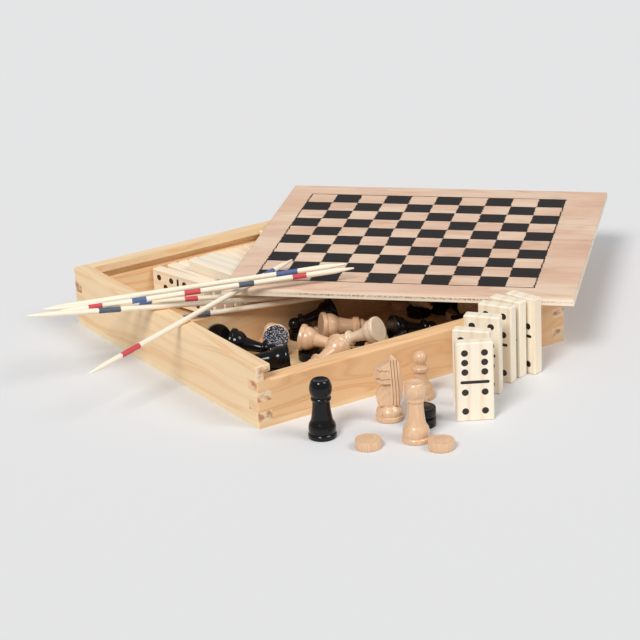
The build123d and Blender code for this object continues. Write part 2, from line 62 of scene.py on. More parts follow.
# Table and light: a wide pale table top, a broad soft lamp on the left in front, a weaker
# one on the right in front, and an even pale room.
def new_material(name, roughness=0.5, **finish):
    """A material with nodes, and its shader. The finish names the shader's own sockets."""
    material = bpy.data.materials.new(name)
    material.use_nodes = True
    shader = material.node_tree.nodes["Principled BSDF"]
    shader.inputs["Roughness"].default_value = roughness
    for socket, value in finish.items():
        shader.inputs[socket.replace("_", " ")].default_value = value
    return material, shader


def add(material, kind, feeds=None, **settings):
    """A new node. Each feed is another node's output socket or a plain value."""
    made = material.node_tree.nodes.new("ShaderNode" + kind)
    for setting, value in settings.items():
        setattr(made, setting, value)
    for socket, value in (feeds or {}).items():
        if isinstance(value, bpy.types.NodeSocket):
            material.node_tree.links.new(value, made.inputs[socket])
        else:
            made.inputs[socket].default_value = value
    return made


def rgb(*levels):
    """A colour as it looks on a screen, from 0 to 255."""
    shares = [level / 255 for level in levels]
    return tuple(v / 12.92 if v < 0.0404 else ((v + 0.055) / 1.055) ** 2.4 for v in shares) + (1.0,)


bpy.ops.mesh.primitive_plane_add(size=8.0, location=(0, 0, 0))
table = bpy.context.object
table.name = "table"
paper, paper_shader = new_material("pale_table", 0.9, Specular_IOR_Level=0.1)
paper_shader.inputs["Base Color"].default_value = rgb(229, 229, 229)
table.data.materials.append(paper)

lamps = (  # the way towards the lamp, its strength, and how wide it looks in degrees
    ((-0.61, -0.36, 0.71), 1.85, 20),
    ((0.36, -0.56, 0.74), 0.98, 26),
)
for direction, strength, spread in lamps:
    bpy.ops.object.light_add(type="SUN", location=direction)
    lamp = bpy.context.object
    lamp.data.energy = strength
    lamp.data.angle = radians(spread)
    lamp.rotation_euler = Vector(direction).to_track_quat("Z", "Y").to_euler()

room = bpy.context.scene.world or bpy.data.worlds.new("room")
bpy.context.scene.world = room
room.use_nodes = True
air = room.node_tree.nodes["Background"]
air.inputs["Color"].default_value = rgb(247, 248, 251)
air.inputs["Strength"].default_value = 0.38


# Case: walls, divider and bottom plate of planed pine, glued at finger joints. Each board
# has long streaks of late wood along it, and its sawn ends are darker and blotted.
def grey(level):
    """The same value in all three colours."""
    return (level, level, level, 1)


def ramp(material, factor, stops, interpolation="LINEAR"):
    """Colours along a factor. Each stop is a place from 0 to 1 and a colour."""
    made = add(material, "ValToRGB", {"Fac": factor})
    made.color_ramp.interpolation = interpolation
    elements = made.color_ramp.elements
    while len(elements) < len(stops):
        elements.new(0.5)
    for element, (place, colour) in zip(elements, stops):
        element.position = place
        element.color = colour
    return made.outputs["Color"]


def rise(material, factor, low, high, top=1.0):
    """Nothing up to the low value of the factor, and all of the top from the high one on."""
    return ramp(material, factor, ((low, grey(0)), (high, grey(top))))


def mix(material, factor, first, second, way="MIX"):
    """The first colour, changed towards the second by the factor."""
    feeds = {0: factor, 6: first, 7: second}
    return add(material, "Mix", feeds, data_type="RGBA", blend_type=way).outputs[2]


def sum_up(material, way, first, second=0.0, third=0.0):
    """One step of arithmetic on the surface's values."""
    return add(material, "Math", {0: first, 1: second, 2: third}, operation=way).outputs[0]


def unsigned(material, value):
    """The value without its sign."""
    return sum_up(material, "ABSOLUTE", value)


def stretched(material, vector, scale, place=(0, 0, 0), turn=0.0):
    """The vector in a board's own directions, with one pattern unit this long along each."""
    feeds = {"Vector": vector, "Location": place, "Rotation": (0, 0, radians(turn)), "Scale": scale}
    return add(material, "Mapping", feeds, vector_type="TEXTURE").outputs["Vector"]


def noise(material, vector, detail, scale=1.0, distortion=0.0):
    """Soft spots of random strength, about one pattern unit across."""
    feeds = {"Vector": vector, "Scale": scale, "Detail": detail, "Distortion": distortion}
    return add(material, "TexNoise", feeds).outputs["Fac"]


def coloured(material, shader, colour):
    """The surface's colour."""
    material.node_tree.links.new(colour, shader.inputs["Base Color"])


def bump(material, shader, height, strength, distance):
    """Relief on the surface."""
    made = add(material, "Bump", {"Height": height, "Strength": strength, "Distance": distance})
    material.node_tree.links.new(made.outputs["Normal"], shader.inputs["Normal"])


def dress(node, material):
    """The CAD node in this material alone."""
    finishes = frame["nodes"][node].data.materials
    finishes.clear()
    finishes.append(material)


def pine(name, grain_turn, place, pale, streak, sawn, scorch):
    """Planed pine with its grain this many degrees round from X.

    Blots on its sawn ends keep this share of the sawn colour.
    """
    material, shader = new_material(name, 0.55, Specular_IOR_Level=0.3)
    where = add(material, "TexCoord").outputs["Object"]

    def grain(scale, vector=where):
        """Places in the board, with one pattern unit this long along the grain and across."""
        return stretched(material, vector, scale, place, grain_turn)

    feeds = {"Vector": grain((0.085, 0.020, 0.020)), "Scale": 1.0, "Detail": 1.0}
    bent = add(material, "TexNoise", feeds).outputs["Color"]
    feeds = {0: bent, 1: (0.0, 0.030, 0.030)}
    drift = add(material, "VectorMath", feeds, operation="MULTIPLY").outputs["Vector"]
    shifted = add(material, "VectorMath", {0: where, 1: drift}, operation="ADD").outputs["Vector"]
    feeds = {"Vector": grain((0.26, 0.016, 0.016), shifted), "Scale": 1.0}
    feeds.update({"Distortion": 3.0, "Detail": 2.0, "Detail Scale": 0.9})
    growth = add(material, "TexWave", feeds, bands_direction="DIAGONAL").outputs["Fac"]
    fibre = noise(material, grain((0.030, 0.0012, 0.0012)), 3.0)
    broad = noise(material, grain((0.16, 0.020, 0.020)), 2.0)
    base = mix(material, broad, pale, mix(material, 0.42, pale, streak))
    late = ramp(material, growth, ((0.55, grey(0)), (0.93, grey(1)), (1.0, grey(0.35))))
    fading = sum_up(material, "MULTIPLY_ADD", broad, 1.5, -0.25)
    lines = mix(material, sum_up(material, "MULTIPLY", late, fading), base, streak)
    fine = mix(material, 0.22, lines, mix(material, fibre, streak, pale), "MULTIPLY")

    normal = add(material, "NewGeometry").outputs["Normal"]
    feeds = {0: normal, 1: (cos(radians(grain_turn)), sin(radians(grain_turn)), 0.0)}
    across = add(material, "VectorMath", feeds, operation="DOT_PRODUCT").outputs["Value"]
    end = rise(material, unsigned(material, across), 0.6, 0.8)
    pores = noise(material, grain((0.002, 0.0022, 0.0008)), 4.0)
    blots = rise(material, noise(material, grain((0.006, 0.006, 0.004)), 2.0), 0.46, 0.60)
    scorched = tuple(v * scorch for v in sawn[:3]) + (1.0,)
    clean = mix(material, pores, mix(material, 0.45, pale, sawn), mix(material, 0.15, pale, sawn))
    blotted = mix(material, pores, sawn, scorched)
    coloured(material, shader, mix(material, end, fine, mix(material, blots, clean, blotted)))
    bump(material, shader, fibre, 0.25, 0.0002)
    return material


cream = rgb(250, 230, 194)
honey = rgb(232, 182, 128)
sawn_ends = (rgb(210, 150, 108), 0.62)
plate_cream = rgb(246, 222, 182)
boards = (
    ("left_wall", 90, (0.01, 0.02, 0.0), cream, honey, *sawn_ends),
    ("right_wall", 90, (0.03, 0.0, 0.05), cream, honey, *sawn_ends),
    # The front wall's pine is darker and tanner than the other walls': painted shade on that face.
    ("front_wall", 0, (0.0, 0.04, 0.02), rgb(248, 214, 168), rgb(226, 174, 122), *sawn_ends),
    ("back_wall", 0, (0.07, 0.01, 0.03), cream, honey, *sawn_ends),
    ("divider", 0, (0.02, 0.05, 0.01), rgb(242, 214, 172), honey, *sawn_ends),
    ("bottom_plate", 0, (0.05, 0.02, 0.02), plate_cream, honey, plate_cream, 0.94),
)
for board, *cut_and_colours in boards:
    dress(board, pine("pine_" + board, *cut_and_colours))


# Lid: birch plywood with a softened edge, printed on top with a board of ten squares by
# ten inside a thin line. Its edge shows pale veneers on both sides of a speckled core.
lid_low, lid_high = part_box("lid_board")
lid_middle = ((lid_low[0] + lid_high[0]) / 2, (lid_low[1] + lid_high[1]) / 2, lid_low[2])
lid_turn = -45.0
square = 15.6 * mm
squares = 10
line_inside, line_outside, print_wander = 0.010, 0.045, 0.16  # of a square
core_from, core_to = 0.34, 0.60  # of the thickness
board_offset = Vector((-4.2 * mm, -0.7 * mm, 0))
board_place = Vector(lid_middle) + Matrix.Rotation(radians(lid_turn), 3, "Z") @ board_offset
ply, ply_shader = new_material("birch_plywood", 0.5, Specular_IOR_Level=0.25)
where = add(ply, "TexCoord").outputs["Object"]


def axes_of(material, vector):
    """The vector's three numbers."""
    return add(material, "SeparateXYZ", {"Vector": vector}).outputs


def along_lid(scale):
    """Places on the lid, with one pattern unit this long along the veneer and across it."""
    return stretched(ply, where, (scale[0] * mm, scale[1] * mm, scale[1] * mm), lid_middle, lid_turn)


veneer = noise(ply, along_lid((45, 1.1)), 3.0)
clouds = noise(ply, along_lid((70, 22)), 2.0)
swirl = noise(ply, along_lid((40, 9)), 3.0, distortion=1.2)
ragged = noise(ply, along_lid((4.0, 0.9)), 3.0)

flat = axes_of(ply, stretched(ply, where, (square, square, square), tuple(board_place), lid_turn))
wander = sum_up(ply, "MULTIPLY_ADD", ragged, print_wander, -print_wander / 2)
column = sum_up(ply, "ADD", flat["X"], wander)
row = sum_up(ply, "ADD", flat["Y"], sum_up(ply, "MULTIPLY", wander, 0.25))
count = sum_up(ply, "ADD", sum_up(ply, "FLOOR", column), sum_up(ply, "FLOOR", row))
odd = unsigned(ply, sum_up(ply, "MODULO", sum_up(ply, "ADD", count, 1.0), 2.0))
reach = sum_up(ply, "MAXIMUM", unsigned(ply, column), unsigned(ply, row))
inside = sum_up(ply, "LESS_THAN", reach, squares / 2)
within_line = sum_up(ply, "LESS_THAN", reach, squares / 2 + line_outside)
line = sum_up(ply, "MULTIPLY", within_line, sum_up(ply, "GREATER_THAN", reach, squares / 2 - line_inside))
printed = sum_up(ply, "MAXIMUM", sum_up(ply, "MULTIPLY", odd, inside), line)

upward = axes_of(ply, add(ply, "NewGeometry").outputs["Normal"])["Z"]
on_top = sum_up(ply, "GREATER_THAN", upward, 0.9)
bare = mix(ply, veneer, rgb(252, 228, 204), rgb(220, 184, 154))
rosy = mix(ply, 0.6, bare, rgb(218, 170, 142))
tinted = mix(ply, rise(ply, clouds, 0.36, 0.66), bare, rosy)
tinted = mix(ply, rise(ply, swirl, 0.52, 0.78, 0.6), tinted, rgb(198, 152, 124))
ink = mix(ply, veneer, rgb(40, 33, 31), rgb(22, 18, 18))
face = mix(ply, sum_up(ply, "MULTIPLY", printed, on_top), tinted, ink)

above = sum_up(ply, "SUBTRACT", axes_of(ply, where)["Z"], lid_low[2])
through = sum_up(ply, "DIVIDE", above, lid_high[2] - lid_low[2])
speckle = noise(ply, where, 2.0, scale=1600.0)
core = mix(ply, rise(ply, speckle, 0.44, 0.52), rgb(150, 134, 118), rgb(236, 218, 194))
core_ply = ramp(ply, through, ((0.0, grey(0)), (core_from, grey(1)), (core_to, grey(0))), "CONSTANT")
worn = ramp(ply, clouds, ((0.38, grey(0.2)), (0.52, grey(1))))
edge_colour = mix(ply, sum_up(ply, "MULTIPLY", core_ply, worn), rgb(250, 234, 212), core)
sideways = sum_up(ply, "LESS_THAN", unsigned(ply, upward), 0.35)
coloured(ply, ply_shader, mix(ply, sideways, face, edge_colour))
bump(ply, ply_shader, veneer, 0.15, 0.0002)
dress("lid_board", ply)


# Turned pieces: birch dipped in clear varnish, or in black lacquer. Each is drawn up ring by
# ring as on a lathe, and keeps its own lathe directions for the grain of its wood.
bodies = frame["record"]["behaviour"]["bodies"]
rides_on = {node: body for body, nodes in bodies.items() for node in nodes}


def alone(piece):
    """The piece is the only one selected, and the active one."""
    bpy.ops.object.select_all(action="DESELECT")
    piece.select_set(True)
    bpy.context.view_layer.objects.active = piece


def turned(name, profile, sides=72):
    """A lathe piece that stands at the origin. The profile is radii and heights in mm."""
    bpy.ops.object.select_all(action="DESELECT")
    radius, height = profile[0]
    bpy.ops.mesh.primitive_circle_add(
        vertices=sides, radius=radius * mm, fill_type="NGON", location=(0, 0, height * mm)
    )
    piece = bpy.context.object
    piece.name = name
    bpy.ops.object.transform_apply(location=True)
    bpy.ops.object.mode_set(mode="EDIT")
    bpy.ops.mesh.select_all(action="SELECT")
    for wider, higher in profile[1:]:
        step = (0, 0, (higher - height) * mm)
        bpy.ops.mesh.extrude_region_move(TRANSFORM_OT_translate={"value": step})
        growth = wider / radius
        bpy.ops.transform.resize(value=(growth, growth, 1), center_override=(0, 0, higher * mm))
        radius, height = wider, higher
    bpy.ops.mesh.select_all(action="SELECT")
    bpy.ops.mesh.normals_make_consistent(inside=False)
    bpy.ops.object.mode_set(mode="OBJECT")
    bpy.ops.object.shade_smooth_by_angle(angle=radians(32))
    keep_directions(piece)
    return piece


def keep_directions(piece):
    """Each point remembers its place on the upright piece, for the grain of the wood."""
    upright = piece.data.attributes.new("upright", "FLOAT_VECTOR", "POINT")
    upright.data.foreach_set("vector", [v for vertex in piece.data.vertices for v in vertex.co])


def bow(start, end, bulge, steps=6):
    """Points on a bowed line between two places on a profile, the ends left out."""
    (r0, z0), (r1, z1) = start, end
    points = []
    for step in range(1, steps):
        t = step / steps
        points.append((r0 + (r1 - r0) * t + bulge * 4 * t * (1 - t), z0 + (z1 - z0) * t))
    return points


def ball(radius, middle, lowest, steps=9):
    """Points up the side of a ball, from this radius at its seat to its top."""
    first = atan2(-sqrt(radius**2 - lowest**2), lowest)
    last = pi / 2 - 0.02
    angles = [first + (last - first) * step / steps for step in range(steps + 1)]
    return [(radius * cos(angle), middle + radius * sin(angle)) for angle in angles]


foot_rim, foot_edge, bell_foot = 7.4, 2.4, 4.3


def turned_foot(bell, bell_top, waist, waist_height):
    """The foot that all the chessmen have: a disc, a groove, and a bell up to the waist."""
    disc = [(foot_rim - 0.5, 0.0), (foot_rim - 0.1, 0.25), (foot_rim, 0.6), (foot_rim, 2.0)]
    disc += [(foot_rim - 0.15, foot_edge), (foot_rim - 0.8, 2.9)]
    bell_start, bell_end = (bell + 0.05, bell_foot), (waist + 1.2, bell_top)
    shoulder = [(bell, 3.6), bell_start] + bow(bell_start, bell_end, 0.55, 7) + [bell_end]
    return disc + shoulder + bow(bell_end, (waist, waist_height), -0.25, 7) + [(waist, waist_height)]


pawn_profile = turned_foot(6.5, 8.6, 2.8, 18.0)
pawn_profile += [(4.1, 18.5), (4.45, 19.0), (4.5, 19.6), (4.3, 20.2), (3.2, 20.6)]
pawn_profile += ball(3.6, 23.9, 2.7)
low_pawn_profile = turned_foot(6.5, 8.6, 3.3, 14.8)
low_pawn_profile += [(4.3, 15.2), (4.6, 15.7), (4.6, 17.0), (4.2, 17.5), (3.0, 17.9)]
low_pawn_profile += ball(4.0, 22.3, 2.7)
rook_profile = turned_foot(6.9, 9.2, 4.1, 21.2)
rook_profile += [(4.5, 21.5), (4.8, 22.0), (4.8, 22.9), (4.5, 23.4), (4.5, 23.7)]
rook_profile += bow((4.5, 23.7), (5.0, 30.3), 0.9, 8)
rook_profile += [(5.0, 30.3), (4.7, 31.1), (4.2, 31.6), (3.6, 31.3), (2.8, 30.9)]
rook_profile += [(1.5, 30.8), (0.1, 30.8)]
black_rook_profile = turned_foot(7.0, 9.4, 4.5, 20.0)
black_rook_profile += [(4.9, 20.3), (5.25, 20.8), (5.25, 21.7), (4.9, 22.2), (4.8, 22.5)]
black_rook_profile += bow((4.8, 22.5), (5.1, 30.0), 0.95, 8)
black_rook_profile += [(5.1, 30.0), (4.75, 30.9), (4.1, 31.45), (3.4, 31.3), (2.6, 30.9)]
black_rook_profile += [(1.4, 30.7), (0.1, 30.7)]
bishop_profile = turned_foot(6.7, 9.4, 3.8, 17.8)
bishop_profile += [(4.6, 18.3), (5.0, 18.8), (5.0, 20.9), (4.5, 21.4), (3.4, 21.9), (3.3, 22.2)]
bishop_profile += [(3.9, 22.7), (3.9, 23.9), (3.0, 24.5)]
bishop_profile += bow((3.0, 24.5), (1.2, 32.3), 0.35, 9) + ball(1.3, 33.65, 1.1)
queen_profile = turned_foot(6.7, 10.0, 3.8, 24.8)
queen_profile += [(4.6, 25.3), (5.0, 25.9), (5.0, 26.9), (4.4, 27.5), (3.2, 27.9)]
queen_profile += bow((3.2, 27.9), (4.9, 34.9), -0.5, 6)
queen_profile += [(4.9, 34.9), (4.6, 35.2), (3.4, 35.4), (2.2, 35.6)] + ball(2.0, 36.45, 1.9)
king_profile = turned_foot(6.8, 10.4, 3.4, 25.8)
king_profile += [(4.8, 26.3), (5.2, 26.9), (5.2, 27.9), (4.5, 28.6)]
king_profile += [(4.2, 29.0), (4.4, 29.8), (4.3, 30.6), (3.5, 31.2)]
king_profile += bow((3.5, 31.2), (2.9, 37.0), 0.8, 7)
king_profile += [(2.9, 37.0), (1.8, 38.2)] + ball(2.05, 39.9, 1.75)
masters = {
    "pawn": turned("pawn_master", pawn_profile),
    "low_pawn": turned("low_pawn_master", low_pawn_profile),
    "rook": turned("rook_master", rook_profile),
    "black_rook": turned("black_rook_master", black_rook_profile),
    "bishop": turned("bishop_master", bishop_profile),
    "queen": turned("queen_master", queen_profile),
    "king": turned("king_master", king_profile),
}


def varnished(name, light=rgb(242, 206, 168), deep=rgb(218, 172, 132), felt=False):
    """Pale birch under clear gloss varnish, bare or with felt glued under the foot."""
    material, shader = new_material(name, 0.32, Coat_Weight=0.6, Coat_Roughness=0.14)
    where = add(material, "Attribute", attribute_name="upright").outputs["Vector"]
    fibre = noise(material, stretched(material, where, (0.0009, 0.0009, 0.014)), 4.0)
    feeds = {"Vector": stretched(material, where, (0.012, 0.0042, 0.05)), "Scale": 1.0}
    feeds.update({"Distortion": 2.6, "Detail": 2.0})
    figure = add(material, "TexWave", feeds, bands_direction="Y").outputs["Fac"]
    wood = mix(material, fibre, light, deep)
    darker = mix(material, 0.5, deep, rgb(202, 150, 108))
    wood = mix(material, sum_up(material, "MULTIPLY", figure, 0.30), wood, darker)
    height = sum_up(material, "DIVIDE", axes_of(material, where)["Z"], 12 * mm)
    near_foot = ramp(material, height, ((0.0, grey(1)), (1.0, grey(0))))
    flecks = noise(material, stretched(material, where, (0.0017, 0.0017, 0.0021)), 1.0)
    pins = sum_up(material, "MULTIPLY", rise(material, flecks, 0.69, 0.75), near_foot)
    wood = mix(material, pins, wood, rgb(120, 74, 44))
    coloured(material, shader, felted(material, where, wood) if felt else wood)
    bump(material, shader, fibre, 0.12, 0.0001)
    return material


def felted(material, where, wood, felt_radius=7.0 * mm):
    """The wood's colour, with dark speckled felt on the underside inside a bare rim."""
    axes = axes_of(material, where)
    squared = [sum_up(material, "MULTIPLY", axes[axis], axes[axis]) for axis in "XY"]
    out = sum_up(material, "SQRT", sum_up(material, "ADD", *squared))
    under = sum_up(material, "LESS_THAN", axes["Z"], 0.04 * mm)
    felt = sum_up(material, "MULTIPLY", under, sum_up(material, "LESS_THAN", out, felt_radius))
    lint = noise(material, where, 2.0, scale=1250.0)
    naps = ((0.47, rgb(14, 16, 28)), (0.53, rgb(44, 48, 66)), (0.57, rgb(206, 208, 216)))
    return mix(material, felt, wood, ramp(material, lint, naps))


def lacquered(name):
    """Black gloss lacquer, a little uneven."""
    finish = {"Specular_IOR_Level": 0.15, "Coat_Weight": 0.35, "Coat_Roughness": 0.05}
    material, shader = new_material(name, 0.16, **finish)
    where = add(material, "Attribute", attribute_name="upright").outputs["Vector"]
    dust = noise(material, where, 3.0, scale=700.0)
    coloured(material, shader, mix(material, dust, rgb(9, 8, 9), rgb(20, 18, 18)))
    bump(material, shader, noise(material, where, 1.0, scale=260.0), 0.05, 0.0002)
    return material


natural = varnished("varnished_birch")
natural_felt = varnished("varnished_birch_with_felt", felt=True)
# This one pawn gets a paler copy of the varnished birch.
whitish = varnished("paler_birch", rgb(250, 232, 206), rgb(234, 206, 172))
black = lacquered("black_lacquer")


def copied(masters_and_places, name, finish):
    """Copies of upright pieces at their places, joined as one new piece."""
    made = []
    for master, place in masters_and_places:
        copy = master.copy()
        copy.data = master.data.copy()
        copy.data.transform(place)
        copy.data.materials.clear()
        copy.data.materials.append(finish)
        bpy.context.collection.objects.link(copy)
        made.append(copy)
    alone(made[0])
    for copy in made[1:]:
        copy.select_set(True)
    if len(made) > 1:
        bpy.ops.object.join()
    made[0].name = name
    return made[0]


def put(masters_and_places, node, finish):
    """Copies in the place of a CAD node, on the body that carries it."""
    piece = copied(masters_and_places, node + "_wood", finish)
    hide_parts(node)
    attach(piece, rides_on[node])


def standing(x, y, heading=0.0, z=0.0):
    """A place on the table, in mm and degrees."""
    return Matrix.Translation((x * mm, y * mm, z * mm)) @ Matrix.Rotation(radians(heading), 4, "Z")


def pointing(x, y, z, heading, pitch):
    """A place for a piece that lies with its foot here and its head this way."""
    turn = Matrix.Rotation(radians(heading), 4, "Z") @ Matrix.Rotation(radians(90 - pitch), 4, "Y")
    return Matrix.Translation((x * mm, y * mm, z * mm)) @ turn


layer_top = 8.45  # of the draughts that the chessmen lie on
resting_ring = {  # the radius and height of the widest ring near the head, in mm
    "pawn": (4.5, 20.4), "bishop": (5.0, 21.4), "queen": (5.0, 35.1), "king": (5.2, 28.4),
}


def lying(kind, x, y, heading):
    """A place on the draughts in the tray, at rest on the foot and on the widest ring."""
    ring, ring_height = resting_ring[kind]
    droop = atan2(foot_rim - ring, ring_height - foot_edge)
    z = layer_top + foot_rim * cos(droop) + foot_edge * sin(droop)
    return pointing(x, y, z, heading, -droop * 180 / pi)


on_table = (
    ("black_rook", (-79.1, -128.0, 20), "rook_standing_black", black),
    ("low_pawn", (-9.8, -116.8, 75), "pawn_standing_natural", natural),
    ("rook", (-44.5, -161.5, 130), "rook_standing_natural", natural),
)
for kind, place, node, finish in on_table:
    put([(masters[kind], standing(*place))], node, finish)
in_tray = (
    ("queen", (-54.4, -58.8, 152.2), "tray_queen_black", black),
    ("pawn", (-44.5, -29.7, 65.5), "tray_pawn_natural_1", natural_felt),
    ("pawn", (-33.6, -37.3, -48.5), "tray_pawn_natural_2", natural),
    ("pawn", (-23.7, -62.1, 196.9), "tray_pawn_natural_3", natural),
    ("king", (83.0, -2.2, -90.0), "tray_king_natural", natural),
    ("pawn", (7.0, -82.4, 158.5), "tray_pawn_black_1", black),
    ("pawn", (3.2, -14.0, 170.0), "tray_pawn_black_2", black),
    ("pawn", (12.6, -58.1, -11.4), "tray_pawn_black_3", black),
    ("pawn", (-66.7, -18.1, -49.9), "tray_pawn_black_4", black),
)
for kind, place, node, finish in in_tray:
    put([(masters[kind], lying(kind, *place))], node, finish)
put([(masters["pawn"], pointing(-1.8, -67.0, 21.55, 119.1, -23.4))], "tray_pawn_natural_4", whitish)
stored_natural = (
    ("bishop", -15.3, -29.7, -20.5), ("queen", 69.0, -52.0, -90.0), ("bishop", 55.0, -2.2, -90.0),
)
stored_black = (
    ("king", 83.0, -90.3, 90.0), ("pawn", 69.0, -47.6, 90.0), ("bishop", 55.0, -90.3, 90.0),
)
for stored, node, finish in (
    (stored_natural, "chessmen_stored_natural", natural),
    (stored_black, "chessmen_stored_black", black),
):
    put([(masters[kind], lying(kind, *place)) for kind, *place in stored], node, finish)


# Knight: the head is sawn from flat stock, thinned with a knife into flat facets, and glued
# on the turned foot. Saw cuts make the mouth, the nostrils, the eyes, the cheeks and the mane.
knight_foot = [(6.9, 0.0), (7.3, 0.25), (7.4, 0.6), (7.4, 2.0), (7.25, 2.4), (6.6, 2.9)]
knight_foot += [(6.7, 3.5), (7.0, 4.3), (6.9, 5.2)] + bow((6.9, 5.2), (5.4, 7.4), 0.2, 5)
knight_foot += [(5.4, 7.4), (4.7, 8.2), (4.6, 9.2)]
knight_master = turned("knight_master", knight_foot)
head_outline = (  # from the chest up over the nose and the ear, and down the mane
    (-5.2, 8.4), (-6.2, 10.4), (-6.8, 13.2), (-6.2, 16.0), (-4.4, 18.2), (-2.2, 20.2),
    (-3.6, 20.8), (-5.6, 21.6), (-7.2, 23.2), (-7.8, 25.0), (-7.7, 27.4), (-6.6, 28.6),
    (-4.4, 29.6), (-1.8, 30.9), (0.4, 32.3), (0.9, 35.3), (2.2, 35.6), (3.6, 34.2),
    (5.2, 32.2), (6.5, 28.4), (7.1, 22.4), (7.2, 16.4), (6.2, 12.0), (4.9, 8.4),
)
half_stock, broken_edge = 4.2, 0.6
sides = (-1, 1)
outline = bpy.data.curves.new("head_outline", "CURVE")
outline.dimensions = "2D"
outline.fill_mode = "BOTH"
spline = outline.splines.new("POLY")
spline.points.add(len(head_outline) - 1)
for point, (u, v) in zip(spline.points, head_outline):
    point.co = (u * mm, v * mm, 0, 1)
spline.use_cyclic_u = True
outline.extrude = (half_stock - broken_edge) * mm
outline.bevel_depth = broken_edge * mm
outline.bevel_resolution = 1
outline.offset = -broken_edge * mm
head = bpy.data.objects.new("head", outline)
bpy.context.collection.objects.link(head)
alone(head)
head.rotation_euler = (radians(90), 0, 0)
bpy.ops.object.convert(target="MESH")
bpy.ops.object.transform_apply(rotation=True)
bpy.ops.object.mode_set(mode="EDIT")
bpy.ops.mesh.select_all(action="SELECT")
bpy.ops.mesh.remove_doubles(threshold=0.02 * mm)
for side in sides:
    facets = (  # a place on each, and the way it faces
        ((0, side * half_stock, 16.0), (0, side, 0.13)),
        ((-2.6, side * 3.9, 24.0), (-0.52, side, 0.10)),
        ((5.6, side * 3.2, 20.0), (0.85, side, 0.10)),
        ((-5.6, side * 3.3, 13.0), (-0.80, side, 0.0)),
        ((2.2, side * 2.1, 33.0), (0.10, side, 0.45)),
    )
    for middle, outward in facets:
        bpy.ops.mesh.select_all(action="SELECT")
        bpy.ops.mesh.bisect(
            plane_co=[v * mm for v in middle], plane_no=outward, clear_outer=True, use_fill=True
        )
bpy.ops.mesh.select_all(action="SELECT")
bpy.ops.mesh.normals_make_consistent(inside=False)
bpy.ops.object.mode_set(mode="OBJECT")


def cut(piece, tools):
    """Takes the tools' shapes out of the piece."""
    for tool in tools:
        knife = piece.modifiers.new("cut", "BOOLEAN")
        knife.operation = "DIFFERENCE"
        knife.solver = "EXACT"
        knife.object = tool
        alone(piece)
        bpy.ops.object.modifier_apply(modifier="cut")
        bpy.data.objects.remove(tool)


def shaped(size, angles):
    """The new primitive as a tool of this size in mm, turned by these angles in degrees."""
    tool = bpy.context.object
    tool.scale = [v * mm for v in size]
    tool.rotation_euler = Euler([radians(v) for v in angles])
    bpy.ops.object.transform_apply(location=True, rotation=True, scale=True)
    return tool


def saw_cut(middle, length, width, depth, lean, twist=0.0):
    """A thin blade's shape, this long and wide in mm, leaning in the plane of the head."""
    bpy.ops.object.select_all(action="DESELECT")
    place = [v * mm for v in middle]
    bpy.ops.mesh.primitive_cylinder_add(vertices=16, radius=0.5, depth=1.0, location=place)
    return shaped((width, depth, length), (twist, lean, 0))


def wedge(middle, size, lean, turn):
    """A block that takes a sloping facet off one side of the head."""
    bpy.ops.object.select_all(action="DESELECT")
    bpy.ops.mesh.primitive_cube_add(size=1.0, location=[v * mm for v in middle])
    return shaped(size, (lean, 0, turn))


hair_width = 0.34
mouth = [saw_cut((-6.6, 0, 23.0), 4.2, 0.7, 14.0, 76)]
chest = [wedge((-3.6, side * 5.55, 15.6), (7.6, 6.0, 11.0), side * 17, side * 14) for side in sides]
mane = []
for u in (2.0, 3.5, 5.0):
    mane += [saw_cut((u, side * 4.3, 12.6), 8.0, hair_width, 1.5, 0) for side in sides]
for u in (1.6, 3.1, 4.6):
    out = 3.15 - 0.1 * u
    mane += [saw_cut((u, side * out, 24.6), 17.0, hair_width, 1.7, -3, side * 7.4) for side in sides]
nostrils = [saw_cut((-6.4, side * 2.4, 26.2), 0.9, 0.9, 1.3, 0) for side in sides]
eyes = []
for n, lean in enumerate((118, 52, 118, 52, 118)):
    u, out, v = -5.0 + 1.25 * n, 2.35 + 0.15 * n, 27.6 - 0.1 * n
    eyes += [saw_cut((u, side * out, v), 1.5, 0.45, 1.5, lean) for side in sides]
cheeks = [saw_cut((-2.2, side * 3.1, 22.9), 6.0, 0.4, 1.4, 88) for side in sides]
cut(head, mouth + chest + mane + nostrils + eyes + cheeks)
alone(knight_master)
head.select_set(True)
bpy.ops.object.join()
bpy.ops.object.shade_smooth_by_angle(angle=radians(28))
knight_master.data.attributes.remove(knight_master.data.attributes["upright"])
keep_directions(knight_master)
put([(knight_master, standing(-39.1, -130.3, -32.0))], "knight_standing_natural", natural)


# Draughts: slices of the same turned stock, faced on both sides and dipped in varnish or
# lacquer. A shallow ring is cut in each face.
draught_thickness, ring_depth = 4.9, 0.12
clearance = 0.05  # between stacked pieces, in mm
lower_half = [(1.0, 0.0), (4.4, 0.0), (4.7, ring_depth), (5.0, 0.0), (6.3, 0.0), (6.65, 0.15), (6.8, 0.5)]
upper_half = [(radius, draught_thickness - height) for radius, height in reversed(lower_half)]
draught_master = turned("draught_master", lower_half + upper_half)
draughts = (
    ("draught_natural_left", (-68.4, -153.7, 10), natural),
    ("draught_natural_front", (-40.5, -177.6, 70), natural),
    ("draught_black_lower", (-30.4, -147.7, 40), black),
    ("draught_black_upper", (-30.0, -147.1, 95, draught_thickness + clearance), black),
)
for node, place, finish in draughts:
    put([(draught_master, standing(*place))], node, finish)

